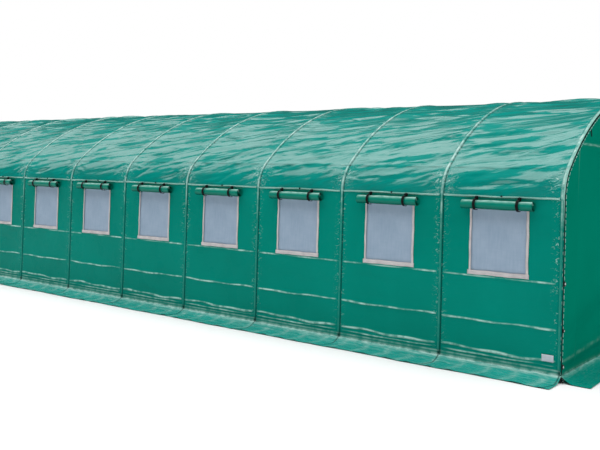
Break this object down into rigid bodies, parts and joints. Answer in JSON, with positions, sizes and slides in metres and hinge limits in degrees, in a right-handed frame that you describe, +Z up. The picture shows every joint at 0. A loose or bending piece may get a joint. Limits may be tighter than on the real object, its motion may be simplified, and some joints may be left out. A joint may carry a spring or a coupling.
{
  "type": "polytunnel greenhouse",
  "caption": "Long polytunnel greenhouse of bent steel hoops under a green sheet, with netted windows, rolled flaps, ground skirts and an open doorway at each end.",
  "frame": {"origin": "on the ground, in the middle of the plan", "axes": "+X along the tunnel to its right end, +Y across it to the back wall, +Z up"},
  "size_m": [9.4316, 3.4, 2],
  "materials": {
    "galvanised_tube": "zinc-coated, satin",
    "roof_sheet": "glossy reinforced film",
    "wall_sheet": "glossy reinforced film",
    "end_sheet": "glossy reinforced film",
    "skirt_sheet": "glossy reinforced film",
    "rolled_sheet": "glossy reinforced film, rolled",
    "net": "fine woven net",
    "strap": "woven tape",
    "label": "smooth"
  },
  "bodies": {
    "root": {"hoop_1": "galvanised_tube", "hoop_2": "galvanised_tube", "hoop_3": "galvanised_tube", "hoop_4": "galvanised_tube", "hoop_5": "galvanised_tube", "hoop_6": "galvanised_tube", "hoop_7": "galvanised_tube", "hoop_8": "galvanised_tube", "hoop_9": "galvanised_tube", "hoop_10": "galvanised_tube", "hoop_11": "galvanised_tube", "ridge_tube": "galvanised_tube", "shoulder_tube_front": "galvanised_tube", "shoulder_tube_back": "galvanised_tube", "eave_tube_front": "galvanised_tube", "eave_tube_back": "galvanised_tube", "waist_rail_front": "galvanised_tube", "waist_rail_back": "galvanised_tube", "low_rail_front": "galvanised_tube", "low_rail_back": "galvanised_tube", "base_rail_front": "galvanised_tube", "base_rail_back": "galvanised_tube", "base_rail_left": "galvanised_tube", "base_rail_right": "galvanised_tube", "door_frame_left": "galvanised_tube", "door_frame_right": "galvanised_tube", "roof_sheet_front": "roof_sheet", "roof_sheet_back": "roof_sheet", "shoulder_sheet_front": "roof_sheet", "shoulder_sheet_back": "roof_sheet", "side_wall_front": "wall_sheet", "side_wall_back": "wall_sheet", "window_nets_front": "net", "window_nets_back": "net", "window_rolls_front": "rolled_sheet", "window_rolls_back": "rolled_sheet", "roll_straps_front": "strap", "roll_straps_back": "strap", "end_wall_left_front": "end_sheet", "end_wall_left_back": "end_sheet", "end_wall_left_top": "end_sheet", "end_wall_right_front": "end_sheet", "end_wall_right_back": "end_sheet", "end_wall_right_top": "end_sheet", "rolled_door_left": "rolled_sheet", "rolled_door_right": "rolled_sheet", "door_straps_left": "strap", "door_straps_right": "strap", "skirt_front": "skirt_sheet", "skirt_back": "skirt_sheet", "skirt_left": "skirt_sheet", "skirt_right": "skirt_sheet", "blank_label": "label"}
  },
  "joints": []
}
